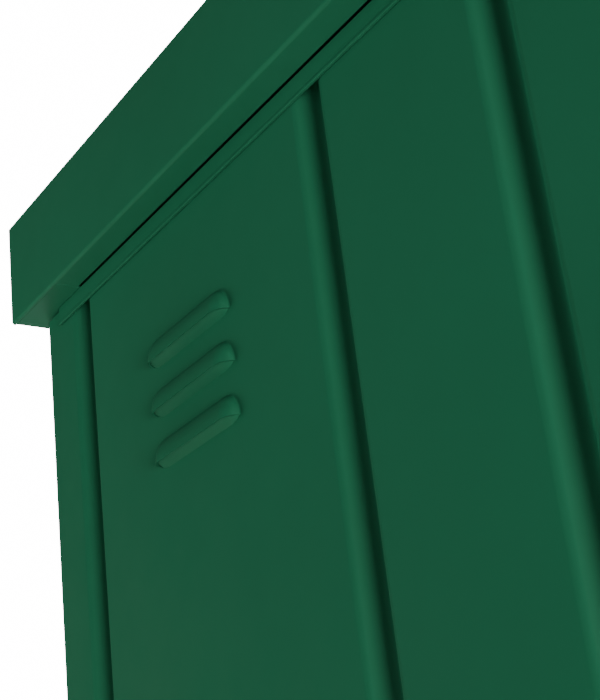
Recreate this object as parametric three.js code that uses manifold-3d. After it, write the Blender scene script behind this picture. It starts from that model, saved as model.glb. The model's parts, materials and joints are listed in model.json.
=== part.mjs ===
// A compact garden storage shed in folded, painted sheet steel: grooved walls held in top and base
// rails, a box-edged roof, two hinged doors with a turning handle that drives two lock rods.
// Millimetres, +Z up, front towards -Y, origin under the middle of the whole object.
import * as THREE from "three";
import { mergeVertices } from "three/addons/utils/BufferGeometryUtils.js";
import Module from "manifold-3d";

const wasm = await Module();
wasm.setup();

// ---- Driving dimensions ------------------------------------------------------------------------
const WIDTH = 1369; // outside of one side wall to outside of the other
const DEPTH = 1017; // face of the front posts to the back of the rear corners
const EAVES = 1900; // underside of the roof's folded edge
const FASCIA_HEIGHT = 97; // height of the roof's vertical edge
const OVERHANG_WALL = 26; // roof edge out from the side and back walls
const OVERHANG_FRONT = 18; // roof edge out from the front posts

const PANEL_SHEET = 1.2; // wall, door, floor and roof sheet
const FRAME_SHEET = 1.5; // rails, posts, fascias and bearers
const FIT = 0.4; // gap left between two pieces that are fastened together
const BEND_RADIUS = 3; // outside radius of a fold
const BEND_STEPS = 3;
const ARC_STEPS = 4; // steps in each quarter of a drawn curve

// Pressed wall grooves and the bay that holds the louvres
const EDGE_TO_GROOVE = 68.5; // corner to the centre line of the first groove
const GROOVE_PITCH = 176; // wanted spacing; the walls take the nearest whole number of bays
const GROOVE_DEPTH = 11.5;
const GROOVE_SHOULDER = 9; // radius at the wall face
const GROOVE_BOTTOM = 9; // radius at the bottom
const GROOVE_FLANK = THREE.MathUtils.degToRad(44);
const SHOULDER_STEPS = 3;
const BOTTOM_STEPS = 4;

// Hooded louvres, pressed outward and open below
const LOUVRE_COUNT = 3;
const LOUVRE_LENGTH = 114;
const LOUVRE_HEIGHT = 18.2;
const LOUVRE_PROJECTION = 9.8;
const LOUVRE_END = 13.7; // how far each rounded end reaches past the straight lip
const LOUVRE_PITCH = 39.5;
const LOUVRE_DROP = 120; // eaves to the bottom of the highest louvre
const GUARD_DEPTH = 12; // how far the slatted guard stands in from the wall sheet
const GUARD_MARGIN = 12; // how far it reaches past the louvres along the wall
const GUARD_LAND = 15; // flat strip that fastens it to the wall

// Rails that hold the walls' top and bottom edges
const RAIL_COVER = 17; // height of the top rail's outer leg that shows below the eaves
const RAIL_CORNER_GAP = 28; // plain corner strip before a top rail starts
const RAIL_INNER = 32; // height of a rail's inner leg
const RAIL_HEM = 2.4; // thickened lower edge of the outer leg
const BASE_RAIL_HEIGHT = 60;
const REAR_POST = 26; // how far the rear corner's inner angle reaches along each wall
const BACK_POST = { half: 18, flange: 22 }; // hat section: half its crown, and each flange
const FLOOR_TOP = 20;
const FLOOR_RIBS = { count: 5, depth: 6, half: 16 };

// Front frame and doors
const JAMB = 40; // width of the folded front corner beside the doors
const REAR_RETURN = 28; // width of the folded rear corner
const POST_DEPTH = 34;
const SILL_HEIGHT = 50;
const SILL_DEPTH = 44;
const HEAD_HEIGHT = 47;
const DOOR_THICKNESS = 25;
const DOOR_GAP = 3; // above and below the doors
const HINGE_GAP = 4; // beside the hinged edge
const MEETING_GAP = 5; // between the two doors
const DOOR_LIP = 14; // inward lip round the back of a door
const STIFFENER = { half: 30, flange: 12, lockRoom: 40 }; // lockRoom keeps it clear of the rods
const SEAL_DEPTH = 10;

// Hinges
const HINGE_HEIGHT = 84;
const HINGE_BARREL = 5; // radius
const HINGE_PIN = 2.8; // radius
const HINGE_LEAF = 2.5; // thickness
const HINGE_REACH = 30; // barrel axis to the leaf's far edge
const HINGE_FROM_ENDS = 290; // door ends to the middle of the outer hinges

// Lock
const LOCK_FROM_EDGE = 70; // meeting edge to the handle's axis
const LOCK_HEIGHT = 1000;
const ROD_TRAVEL = 20;
const ROD_RADIUS = 5;
const ROD_CLEARANCE = 0.7; // round a rod in its guide or hole
const CRANK_RADIUS = ROD_TRAVEL / Math.SQRT2;
const CRANK_PIN = 3; // radius
const BOLT_LENGTH = 160;
const ROD_LINE = 16; // how far the rods run behind the door's face
const ROD_STOP = 2; // how far a drawn-back rod stays inside the door's end
const GUIDE_FROM_LOCK = 420;

// Roof
const FRONT_FLANGE = 89; // depth of the front and back fascias' bottom flange
const SIDE_FLANGE = 22.4; // depth of the side fascias' bottom flange
const FASCIA_LIP = 22;
const DECK_CROWN = 9; // rise of each cross-broken roof tray
const DECK_BORDER = 30; // flat border beside the side fold
const SEAM_HEIGHT = 22;
const BEARER_WIDTH = 40;

// Colours
const GREEN = { color: 0x17563b, roughness: 0.42, metalness: 0.0 };
const GALVANISED = { color: 0x9aa0a2, roughness: 0.38, metalness: 0.9 };
const BLACK_RUBBER = { color: 0x161616, roughness: 0.85, metalness: 0.0 };
const CAST_METAL = { color: 0x22262a, roughness: 0.45, metalness: 0.3 };
const NICKEL = { color: 0xb9bbbd, roughness: 0.25, metalness: 1.0 };

// ---- Worked-out places -------------------------------------------------------------------------
const HALF_WIDTH = WIDTH / 2;
const HALF_DEPTH = DEPTH / 2;
const FRONT = -HALF_DEPTH;
const ROOF_X = HALF_WIDTH + OVERHANG_WALL;
const ROOF_FRONT = FRONT - OVERHANG_FRONT;
const ROOF_BACK = HALF_DEPTH + OVERHANG_WALL;
const ROOF_TOP = EAVES + FASCIA_HEIGHT;
const RAIL_TOP = EAVES - FIT;
const WALL_TOP = RAIL_TOP - FRAME_SHEET - FIT;
const WALL_BOTTOM = FRAME_SHEET + FIT;
const RAIL_DEPTH = GROOVE_DEPTH + PANEL_SHEET + 2 * FIT; // wall face to the rail's inner leg
const RAIL_STEP = FIT + FRAME_SHEET; // how far the outer leg stands proud of the wall
const BACK_FACE = HALF_DEPTH - PANEL_SHEET - FIT; // back panels lie inside the rear corners
const DOOR_BOTTOM = SILL_HEIGHT + DOOR_GAP;
const DOOR_TOP = EAVES - HEAD_HEIGHT - DOOR_GAP;
const DOOR_HEIGHT = DOOR_TOP - DOOR_BOTTOM;
const HINGE_X = HALF_WIDTH - JAMB - HINGE_GAP / 2;
const HINGE_Y = FRONT - FIT - HINGE_BARREL;
const DOOR_WIDTH = HALF_WIDTH - JAMB - HINGE_GAP - MEETING_GAP / 2;
const LOCK_X = MEETING_GAP / 2 + LOCK_FROM_EDGE;
const ROD_Y = FRONT + ROD_LINE;
const GROOVE_HALF = (() => {
  const radii = GROOVE_SHOULDER + GROOVE_BOTTOM;
  const flank = GROOVE_DEPTH - radii * (1 - Math.cos(GROOVE_FLANK));
  return radii * Math.sin(GROOVE_FLANK) + flank / Math.tan(GROOVE_FLANK);
})();

// ---- Solids ------------------------------------------------------------------------------------
function toSolid(geometry) {
  const bare = geometry.clone();
  bare.deleteAttribute("normal");
  bare.deleteAttribute("uv");
  const merged = mergeVertices(bare, 1e-4);
  return new wasm.Manifold(new wasm.Mesh({
    numProp: 3,
    vertProperties: merged.attributes.position.array,
    triVerts: new Uint32Array(merged.index.array),
  }));
}

function toGeometry(solid) {
  const mesh = solid.getMesh();
  const geometry = new THREE.BufferGeometry();
  geometry.setAttribute("position", new THREE.BufferAttribute(mesh.vertProperties, 3));
  geometry.setIndex(new THREE.BufferAttribute(mesh.triVerts, 1));
  geometry.computeVertexNormals();
  return geometry;
}

const join = (...pieces) => toGeometry(pieces.map(toSolid).reduce((sum, piece) => sum.add(piece)));

const cut = (piece, ...tools) =>
  toGeometry(tools.map(toSolid).reduce((rest, tool) => rest.subtract(tool), toSolid(piece)));

// A box from its lowest to its highest corner.
function box([x0, y0, z0], [x1, y1, z1]) {
  const geometry = new THREE.BoxGeometry(x1 - x0, y1 - y0, z1 - z0);
  return geometry.translate((x0 + x1) / 2, (y0 + y1) / 2, (z0 + z1) / 2);
}

// A cylinder along Z or along Y, from one end to the other.
function rodZ(radius, z0, z1, x = 0, y = 0, sides = 20) {
  const geometry = new THREE.CylinderGeometry(radius, radius, z1 - z0, sides);
  return geometry.rotateX(Math.PI / 2).translate(x, y, (z0 + z1) / 2);
}

function rodY(radius, y0, y1, x = 0, z = 0, sides = 20) {
  return new THREE.CylinderGeometry(radius, radius, y1 - y0, sides).translate(x, (y0 + y1) / 2, z);
}

function extrude(shape, length) {
  return new THREE.ExtrudeGeometry(shape, { depth: length, bevelEnabled: false, curveSegments: ARC_STEPS });
}

// Sections drawn in XY, XZ and YZ, and run along the third axis.
const alongZ = (shape, z0, z1) => extrude(shape, z1 - z0).translate(0, 0, z0);
const alongY = (shape, y0, y1) => extrude(shape, y1 - y0).rotateX(Math.PI / 2).translate(0, y1, 0);

function alongX(shape, x0, x1) {
  const turn = new THREE.Matrix4().makeBasis(
    new THREE.Vector3(0, 1, 0), new THREE.Vector3(0, 0, 1), new THREE.Vector3(1, 0, 0));
  return extrude(shape, x1 - x0).applyMatrix4(turn).translate(x0, 0, 0);
}

const at = (x, y) => new THREE.Vector2(x, y);

// Rounds the inner corners of an open path of sheet.
function rounded(path, radius) {
  const out = [path[0]];
  for (let i = 1; i < path.length - 1; i++) {
    const before = path[i - 1].clone().sub(path[i]).normalize();
    const after = path[i + 1].clone().sub(path[i]).normalize();
    const half = Math.acos(THREE.MathUtils.clamp(before.dot(after), -1, 1)) / 2;
    const reach = radius / Math.tan(half);
    const start = path[i].clone().addScaledVector(before, reach);
    const end = path[i].clone().addScaledVector(after, reach);
    const curve = new THREE.QuadraticBezierCurve(start, path[i], end);
    out.push(...curve.getPoints(BEND_STEPS));
  }
  out.push(path.at(-1));
  return out;
}

// The closed section of a sheet that follows an open path; its thickness lies left of travel.
function sheet(path, thickness) {
  const normals = path.slice(1).map((point, i) => {
    const run = point.clone().sub(path[i]).normalize();
    return at(-run.y, run.x);
  });
  const inner = path.map((point, i) => {
    const first = normals[Math.max(i - 1, 0)];
    const second = normals[Math.min(i, normals.length - 1)];
    const mitre = first.clone().add(second).divideScalar(1 + first.dot(second));
    return point.clone().addScaledVector(mitre, thickness);
  });
  return new THREE.Shape([...path, ...inner.reverse()]);
}

const folded = (corners, thickness) => sheet(rounded(corners, BEND_RADIUS), thickness);

// Half of the groove's section, from the wall face to the bottom: [distance from centre, depth].
function grooveHalf() {
  const points = [];
  for (let i = 0; i <= SHOULDER_STEPS; i++) {
    const turn = (GROOVE_FLANK * i) / SHOULDER_STEPS;
    points.push([GROOVE_HALF - GROOVE_SHOULDER * Math.sin(turn), GROOVE_SHOULDER * (1 - Math.cos(turn))]);
  }
  for (let i = 0; i < BOTTOM_STEPS; i++) {
    const turn = GROOVE_FLANK * (1 - i / BOTTOM_STEPS);
    points.push([GROOVE_BOTTOM * Math.sin(turn), GROOVE_DEPTH - GROOVE_BOTTOM * (1 - Math.cos(turn))]);
  }
  return points;
}

// The run of one groove along a wall: [distance along the wall, depth].
function groove(centre) {
  const half = grooveHalf();
  const falling = half.map(([s, d]) => [centre - s, d]);
  const rising = half.map(([s, d]) => [centre + s, d]).reverse();
  return [...falling, [centre, GROOVE_DEPTH], ...rising];
}

// Groove centres along a wall of the given length, leaving out any bay numbers in skip.
function grooveCentres(length, skip = []) {
  const bays = Math.round((length - 2 * EDGE_TO_GROOVE) / GROOVE_PITCH);
  const pitch = (length - 2 * EDGE_TO_GROOVE) / bays;
  const all = Array.from({ length: bays + 1 }, (_, i) => EDGE_TO_GROOVE + i * pitch);
  return all.filter((_, i) => !skip.includes(i));
}

// ---- Walls -------------------------------------------------------------------------------------
const LOUVRE_BAY = 1; // the groove left out, counted from the front
const LOUVRE_Y = FRONT + EDGE_TO_GROOVE + sidePitch();
const LOUVRE_LOWEST = EAVES - LOUVRE_DROP - (LOUVRE_COUNT - 1) * LOUVRE_PITCH;

function sidePitch() {
  const centres = grooveCentres(DEPTH);
  return centres[1] - centres[0];
}

// The domed solid of one louvre on the plane X = 0, bulging towards +X over the wall it stands on.
// It's a quarter of a long ellipsoid with a flat underside; inset shrinks it for the hollow. Its
// rings run from the wall out to the lip, and the last is a small cap instead of a point.
const DOME_CAP = 0.04;

function louvreDome(inset) {
  const straight = LOUVRE_LENGTH / 2 - LOUVRE_END;
  const end = LOUVRE_END - inset;
  const height = LOUVRE_HEIGHT - inset;
  const reach = LOUVRE_PROJECTION - inset;
  const outline = [];
  for (let i = 0; i <= ARC_STEPS; i++) {
    const turn = (Math.PI / 2) * (i / ARC_STEPS);
    outline.push([straight, Math.cos(turn), Math.sin(turn)]);
  }
  outline.push(...outline.map(([s, c, h]) => [-s, -c, h]).reverse());
  const vertices = [];
  for (let ring = 0; ring <= ARC_STEPS; ring++) {
    const turn = (Math.PI / 2) * (ring / ARC_STEPS);
    const shrink = ring === ARC_STEPS ? DOME_CAP : Math.cos(turn);
    for (const [s, c, h] of outline)
      vertices.push([reach * Math.sin(turn), s + c * end * shrink, h * height * shrink]);
  }
  return ringSolid(vertices, outline.length);
}

// Joins equal rings of points into a closed solid, capping the first and last ring.
function ringSolid(vertices, count) {
  const rings = vertices.length / count;
  const faces = [];
  for (let ring = 0; ring < rings - 1; ring++)
    for (let i = 0; i < count; i++) {
      const a = ring * count + i;
      const b = ring * count + ((i + 1) % count);
      faces.push(a, b, a + count, b, b + count, a + count);
    }
  const last = (rings - 1) * count;
  for (let i = 1; i < count - 1; i++) {
    faces.push(0, i + 1, i);
    faces.push(last, last + i, last + i + 1);
  }
  const geometry = new THREE.BufferGeometry();
  geometry.setAttribute("position", new THREE.Float32BufferAttribute(vertices.flat(), 3));
  geometry.setIndex(faces);
  return geometry;
}

// The hole in the sheet behind a louvre, from X = 0 inward to outward by the length.
function louvreOpening(through) {
  const half = LOUVRE_LENGTH / 2 - PANEL_SHEET;
  const straight = LOUVRE_LENGTH / 2 - LOUVRE_END;
  const height = LOUVRE_HEIGHT - PANEL_SHEET;
  const outline = new THREE.Shape();
  outline.moveTo(-half, 0);
  outline.lineTo(half, 0);
  outline.absellipse(straight, 0, half - straight, height, 0, Math.PI / 2);
  outline.absellipse(-straight, 0, half - straight, height, Math.PI / 2, Math.PI);
  return alongX(outline, 0, through);
}

// A side wall: front corner fold, grooved face with its louvres, and rear corner fold.
function sidePanel() {
  const face = grooveCentres(DEPTH, [LOUVRE_BAY]).flatMap(groove);
  const path = [
    at(HALF_WIDTH - JAMB, FRONT),
    ...rounded([at(HALF_WIDTH - JAMB, FRONT), at(HALF_WIDTH, FRONT), at(HALF_WIDTH, FRONT + JAMB)],
      BEND_RADIUS).slice(1, -1),
    ...face.map(([s, d]) => at(HALF_WIDTH - d, FRONT + s)),
    ...rounded([at(HALF_WIDTH, HALF_DEPTH - REAR_RETURN), at(HALF_WIDTH, HALF_DEPTH),
      at(HALF_WIDTH - REAR_RETURN, HALF_DEPTH)], BEND_RADIUS).slice(1, -1),
    at(HALF_WIDTH - REAR_RETURN, HALF_DEPTH),
  ];
  let panel = toSolid(alongZ(sheet(path, PANEL_SHEET), WALL_BOTTOM, WALL_TOP));
  const dome = louvreDome(0);
  const hollow = louvreDome(PANEL_SHEET);
  const through = 2 * PANEL_SHEET;
  const opening = louvreOpening(through);
  const bite = 0.01; // carries each cut just past the face that it opens
  for (let i = 0; i < LOUVRE_COUNT; i++) {
    const bottom = LOUVRE_LOWEST + i * LOUVRE_PITCH;
    const place = (geometry, out, drop = 0) =>
      toSolid(geometry.clone().translate(HALF_WIDTH + out, LOUVRE_Y, bottom - drop));
    panel = panel.add(place(dome, 0)).add(place(dome, -PANEL_SHEET / 2));
    panel = panel.subtract(place(hollow, -bite, bite)).subtract(place(opening, bite - through));
  }
  return toGeometry(panel);
}

// One of the two back panels, from the middle of the back to the corner at +X.
function backPanel() {
  const outer = HALF_WIDTH - BEND_RADIUS - FIT;
  const centres = grooveCentres(WIDTH).map((s) => s - HALF_WIDTH).filter((x) => x > GROOVE_HALF);
  const face = centres.flatMap(groove).map(([x, d]) => at(x, BACK_FACE - d));
  const path = [at(FIT, BACK_FACE), ...face, at(outer, BACK_FACE)];
  return alongZ(sheet(path, -PANEL_SHEET), WALL_BOTTOM, WALL_TOP);
}

// The slatted guard behind the louvres: each slat faces down and out, and the ends are open.
function louvreGuard() {
  const near = HALF_WIDTH - PANEL_SHEET - FIT;
  const far = near - GUARD_DEPTH;
  const low = LOUVRE_LOWEST - LOUVRE_HEIGHT / 3;
  const path = [at(near, low - GUARD_LAND), at(near, low)];
  for (let i = 0; i < LOUVRE_COUNT; i++) {
    const bottom = LOUVRE_LOWEST + i * LOUVRE_PITCH;
    const step = LOUVRE_HEIGHT / 3;
    path.push(at(far, bottom - 0.7 * step), at(near - 1, bottom + 2 * step));
    path.push(at(near - 1, bottom + 3.2 * step));
  }
  path.push(at(near, LOUVRE_LOWEST + LOUVRE_COUNT * LOUVRE_PITCH + GUARD_LAND / 2));
  const half = LOUVRE_LENGTH / 2 + GUARD_MARGIN;
  return alongY(sheet(path, FRAME_SHEET), LOUVRE_Y - half, LOUVRE_Y + half);
}

// ---- Rails and posts ---------------------------------------------------------------------------
// The top rail's section against a wall face at 0, outward positive: a channel open downward,
// with a thick hem along the outer leg's lower edge.
function topRailSection(outward) {
  const outer = RAIL_STEP;
  const low = EAVES - RAIL_COVER;
  const inner = -RAIL_DEPTH;
  const points = [
    [FIT, low + 0.5], [FIT + 0.5, low], [FIT + RAIL_HEM - 0.5, low], [FIT + RAIL_HEM, low + 0.5],
    [FIT + RAIL_HEM, low + 1.6], [outer, low + 2.6], [outer, RAIL_TOP - 1], [outer - 1, RAIL_TOP],
    [inner - FRAME_SHEET + 1, RAIL_TOP], [inner - FRAME_SHEET, RAIL_TOP - 1],
    [inner - FRAME_SHEET, RAIL_TOP - RAIL_INNER], [inner, RAIL_TOP - RAIL_INNER],
    [inner, RAIL_TOP - FRAME_SHEET], [FIT, RAIL_TOP - FRAME_SHEET],
  ];
  return new THREE.Shape(points.map(([out, z]) => at(outward(out), z)));
}

function baseRailSection(outward) {
  const outer = RAIL_STEP;
  const inner = -RAIL_DEPTH;
  const points = [
    [outer, 0], [outer, BASE_RAIL_HEIGHT - 1], [outer - 0.6, BASE_RAIL_HEIGHT], [FIT, BASE_RAIL_HEIGHT],
    [FIT, FRAME_SHEET], [inner, FRAME_SHEET], [inner, RAIL_INNER], [inner - FRAME_SHEET, RAIL_INNER],
    [inner - FRAME_SHEET, 0],
  ];
  return new THREE.Shape(points.map(([out, z]) => at(outward(out), z)));
}

const fromSide = (out) => HALF_WIDTH + out;
const fromBack = (out) => BACK_FACE + out;
const RAIL_BACK_END = HALF_WIDTH - REAR_RETURN - FIT;

const INSIDE_BACK = BACK_FACE - RAIL_DEPTH - FRAME_SHEET - FIT; // clear of the back rails
const INSIDE_SIDE = HALF_WIDTH - RAIL_DEPTH - FRAME_SHEET - FIT; // clear of the side rails

const railSide = (section) => alongY(section(fromSide), FRONT + RAIL_CORNER_GAP, INSIDE_BACK);
const railBack = (section) => alongX(section(fromBack), -RAIL_BACK_END, RAIL_BACK_END);

// The channel behind each folded front corner, which the hinges screw into.
function frontPost() {
  const near = FRONT + PANEL_SHEET + FIT;
  const far = near + POST_DEPTH;
  const outer = INSIDE_SIDE;
  const inner = HALF_WIDTH - JAMB;
  const corners = [at(outer, far), at(inner, far), at(inner, near), at(outer, near)];
  return alongZ(sheet(corners, FRAME_SHEET), WALL_BOTTOM, WALL_TOP);
}

// The angle inside each rear corner.
function rearPost() {
  const corners = [at(INSIDE_SIDE, INSIDE_BACK - REAR_POST), at(INSIDE_SIDE, INSIDE_BACK),
    at(INSIDE_SIDE - REAR_POST, INSIDE_BACK)];
  return alongZ(folded(corners, FRAME_SHEET), FLOOR_TOP + FIT, WALL_TOP);
}

// The hat section that backs the joint between the two back panels.
function backPost() {
  const near = BACK_FACE - PANEL_SHEET - FIT;
  const far = near - RAIL_DEPTH;
  const { half, flange } = BACK_POST;
  const corners = [at(half + flange, near), at(half, near), at(half, far), at(-half, far),
    at(-half, near), at(-half - flange, near)];
  return alongZ(sheet(corners, FRAME_SHEET), BASE_RAIL_HEIGHT, RAIL_TOP - RAIL_INNER - FIT);
}

// ---- Base --------------------------------------------------------------------------------------
const SILL_END = HALF_WIDTH - JAMB - FIT;
const keepHoles = (z0, z1) =>
  [LOCK_X, -LOCK_X].map((x) => rodZ(ROD_RADIUS + 2 * ROD_CLEARANCE, z0, z1, x, ROD_Y));

function frontSill() {
  const back = FRONT + SILL_DEPTH;
  const corners = [at(back, 0), at(back, SILL_HEIGHT), at(FRONT, SILL_HEIGHT), at(FRONT, 0)];
  const body = alongX(folded(corners, FRAME_SHEET), -SILL_END, SILL_END);
  return cut(body, ...keepHoles(SILL_HEIGHT - 5, SILL_HEIGHT + 5));
}

// The floor: a pan with ribs pressed down into it, standing on its turned-down edges.
function floorPanel() {
  const front = FRONT + SILL_DEPTH + FIT;
  const back = INSIDE_BACK;
  const { count, depth, half } = FLOOR_RIBS;
  const corners = [at(back, 0), at(back, FLOOR_TOP)];
  for (let i = count; i >= 1; i--) {
    const y = front + ((back - front) * i) / (count + 1);
    corners.push(at(y + half, FLOOR_TOP), at(y + half / 2, FLOOR_TOP - depth),
      at(y - half / 2, FLOOR_TOP - depth), at(y - half, FLOOR_TOP));
  }
  corners.push(at(front, FLOOR_TOP), at(front, 0));
  return alongX(sheet(corners, PANEL_SHEET), -INSIDE_SIDE, INSIDE_SIDE);
}

// ---- Roof --------------------------------------------------------------------------------------
function doorHead() {
  const back = FRONT + SILL_DEPTH;
  const low = EAVES - HEAD_HEIGHT;
  const corners = [at(FRONT, RAIL_TOP), at(FRONT, low), at(back, low), at(back, RAIL_TOP)];
  const body = alongX(folded(corners, FRAME_SHEET), -SILL_END, SILL_END);
  return cut(body, ...keepHoles(low - 5, low + 5));
}

// A cross-broken deck: flat edges and a low crown in the middle.
function crownedDeck(x0, y0, x1, y1) {
  const middle = [(x0 + x1) / 2, (y0 + y1) / 2];
  const top = [[x0, y0], [x1, y0], [x1, y1], [x0, y1]].map(([x, y]) => [x, y, ROOF_TOP]);
  top.push([...middle, ROOF_TOP + DECK_CROWN]);
  const vertices = [...top, ...top.map(([x, y, z]) => [x, y, z - PANEL_SHEET])];
  const faces = [];
  for (let i = 0; i < 4; i++) {
    const j = (i + 1) % 4;
    faces.push(i, j, 4, j + 5, i + 5, 9);
    faces.push(i, i + 5, j, j, i + 5, j + 5);
  }
  const geometry = new THREE.BufferGeometry();
  geometry.setAttribute("position", new THREE.Float32BufferAttribute(vertices.flat(), 3));
  geometry.setIndex(faces);
  return geometry;
}

// One half of the roof: crowned deck, side fascia with its folded-in flange, and the upstand
// beside the middle seam. The side flange stops where the front and back flanges take over.
function roofTray() {
  const inner = FIT / 2;
  const edge = [at(ROOF_X - DECK_BORDER, ROOF_TOP), at(ROOF_X, ROOF_TOP), at(ROOF_X, EAVES),
    at(ROOF_X - SIDE_FLANGE, EAVES)];
  const side = alongY(sheet(rounded(edge, BEND_RADIUS), -PANEL_SHEET), ROOF_FRONT, ROOF_BACK);
  const seam = box([inner, ROOF_FRONT, ROOF_TOP - PANEL_SHEET],
    [inner + PANEL_SHEET, ROOF_BACK, ROOF_TOP + SEAM_HEIGHT]);
  const deck = crownedDeck(inner, ROOF_FRONT, ROOF_X - DECK_BORDER + 1, ROOF_BACK);
  const tray = join(side, deck, seam);
  const flange = (y0, y1) =>
    box([ROOF_X - SIDE_FLANGE - 1, y0, EAVES - 1], [ROOF_X - PANEL_SHEET, y1, EAVES + PANEL_SHEET + 2]);
  return cut(tray, flange(ROOF_FRONT - 1, ROOF_FRONT + FRONT_FLANGE + FIT),
    flange(ROOF_BACK - FRONT_FLANGE - FIT, ROOF_BACK + 1));
}

// The cap over the two upstands.
function seamCap() {
  const half = FIT / 2 + PANEL_SHEET + FIT + PANEL_SHEET;
  const top = ROOF_TOP + SEAM_HEIGHT + FIT + PANEL_SHEET;
  const low = ROOF_TOP + 6;
  const corners = [at(-half, low), at(-half, top), at(half, top), at(half, low)];
  return alongY(sheet(corners, -PANEL_SHEET), ROOF_FRONT, ROOF_BACK);
}

// Front or back fascia: vertical face, deep bottom flange that rests on the wall head, top lip.
function fascia(face, inward) {
  const end = ROOF_X - PANEL_SHEET - 2 * FIT;
  const top = ROOF_TOP - PANEL_SHEET - FIT;
  const corners = [at(face + inward * FASCIA_LIP, top), at(face, top), at(face, EAVES),
    at(face + inward * FRONT_FLANGE, EAVES)];
  return alongX(folded(corners, inward * FRAME_SHEET), -end, end);
}

// A channel that carries the deck from the front fascia to the back one.
function roofBearer() {
  const low = EAVES + FRAME_SHEET + FIT;
  const top = ROOF_TOP - PANEL_SHEET - FIT;
  const lipped = FASCIA_LIP + FIT;
  const corners = [at(BEARER_WIDTH / 2, low), at(-BEARER_WIDTH / 2, low), at(-BEARER_WIDTH / 2, top),
    at(BEARER_WIDTH / 2, top)];
  const clear = 3 * FRAME_SHEET;
  const bearer = alongY(folded(corners, -FRAME_SHEET), ROOF_FRONT + clear, ROOF_BACK - clear);
  const notch = (y0, y1) =>
    box([-BEARER_WIDTH, y0, top - FRAME_SHEET - FIT], [BEARER_WIDTH, y1, top + 1]);
  return cut(bearer, notch(ROOF_FRONT, ROOF_FRONT + lipped), notch(ROOF_BACK - lipped, ROOF_BACK));
}

// ---- Doors -------------------------------------------------------------------------------------
// A door is drawn with its hinge axis at the origin and its free edge towards -X.
const DOOR_X1 = -HINGE_GAP / 2;
const DOOR_X0 = DOOR_X1 - DOOR_WIDTH;
const DOOR_FACE = HINGE_BARREL + FIT;
const DOOR_BACK = DOOR_FACE + DOOR_THICKNESS;
const LOCK_OFFSET = DOOR_X0 + LOCK_FROM_EDGE;
const ROD_OFFSET_Y = ROD_Y - HINGE_Y;

function doorSkin(hasHandle) {
  const third = DOOR_WIDTH / 3;
  const face = [DOOR_X0 + third, DOOR_X1 - third].flatMap(groove);
  const corners = [
    at(DOOR_X0 + DOOR_LIP, DOOR_BACK),
    at(DOOR_X0, DOOR_BACK),
    ...rounded([at(DOOR_X0, DOOR_BACK), at(DOOR_X0, DOOR_FACE), at(DOOR_X0 + JAMB, DOOR_FACE)],
      BEND_RADIUS).slice(1, -1),
    ...face.map(([x, d]) => at(x, DOOR_FACE + d)),
    ...rounded([at(DOOR_X1 - JAMB, DOOR_FACE), at(DOOR_X1, DOOR_FACE), at(DOOR_X1, DOOR_BACK)],
      BEND_RADIUS).slice(1, -1),
    at(DOOR_X1, DOOR_BACK),
    at(DOOR_X1 - DOOR_LIP, DOOR_BACK),
  ];
  const shell = alongZ(sheet(corners, PANEL_SHEET), DOOR_BOTTOM, DOOR_TOP);
  const inset = PANEL_SHEET / 2;
  const endPlate = (z) =>
    box([DOOR_X0 + inset, DOOR_FACE + inset, z], [DOOR_X1 - inset, DOOR_BACK, z + PANEL_SHEET]);
  const tray = join(shell, endPlate(DOOR_BOTTOM), endPlate(DOOR_TOP - PANEL_SHEET));
  const rodHoles = [DOOR_BOTTOM, DOOR_TOP].map((z) =>
    rodZ(ROD_RADIUS + ROD_CLEARANCE, z - 5, z + 5, LOCK_OFFSET, ROD_OFFSET_Y));
  const spindleHole = rodY(SPINDLE_RADIUS + 1, DOOR_FACE - 2, DOOR_FACE + 3, LOCK_OFFSET, LOCK_HEIGHT);
  return cut(tray, ...rodHoles, ...(hasHandle ? [spindleHole] : []));
}

// The channel across the inside of a door, short of the lock rods.
function doorStiffener(middle) {
  const near = DOOR_FACE + GROOVE_DEPTH + PANEL_SHEET + FIT;
  const far = DOOR_BACK - 2 * PANEL_SHEET - FIT;
  const { half, flange, lockRoom } = STIFFENER;
  const corners = [at(far, middle - half - flange), at(far, middle - half), at(near, middle - half),
    at(near, middle + half), at(far, middle + half), at(far, middle + half + flange)];
  return alongX(sheet(corners, -PANEL_SHEET), LOCK_OFFSET + lockRoom, DOOR_X1 - PANEL_SHEET - FIT);
}

function doorSeal() {
  const thick = MEETING_GAP / 2 - 2 * FIT;
  const x = DOOR_X0 - FIT;
  const inset = BEND_RADIUS + 1;
  return box([x - thick, DOOR_FACE + inset, DOOR_BOTTOM + inset],
    [x, DOOR_FACE + inset + SEAL_DEPTH, DOOR_TOP - inset]);
}

// ---- Hinges ------------------------------------------------------------------------------------
// Lift-off hinge on the axis X = Y = 0, middle height 0. The post half holds the pin.
function hingeLeaf(side) {
  const y1 = HINGE_BARREL;
  const y0 = y1 - HINGE_LEAF;
  const far = side * HINGE_REACH;
  const near = side * (HINGE_BARREL - 1);
  return box([Math.min(near, far), y0, -HINGE_HEIGHT / 2], [Math.max(near, far), y1, HINGE_HEIGHT / 2]);
}

function hingeStrap(side, z0, z1) {
  const far = side * (HINGE_BARREL + 2);
  return box([Math.min(0, far), HINGE_BARREL - HINGE_LEAF, z0], [Math.max(0, far), HINGE_BARREL, z1]);
}

function hingePostHalf() {
  const low = -HINGE_HEIGHT / 2;
  const barrel = rodZ(HINGE_BARREL, low, -FIT);
  const pin = rodZ(HINGE_PIN, low + 2, HINGE_HEIGHT / 2 - 5, 0, 0, 12);
  const clear = box([0, -HINGE_BARREL - 1, 0], [HINGE_BARREL + 1, HINGE_BARREL + 1, HINGE_HEIGHT]);
  const leaf = cut(hingeLeaf(1), clear);
  return join(barrel, pin, leaf, hingeStrap(1, low, -FIT));
}

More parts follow.
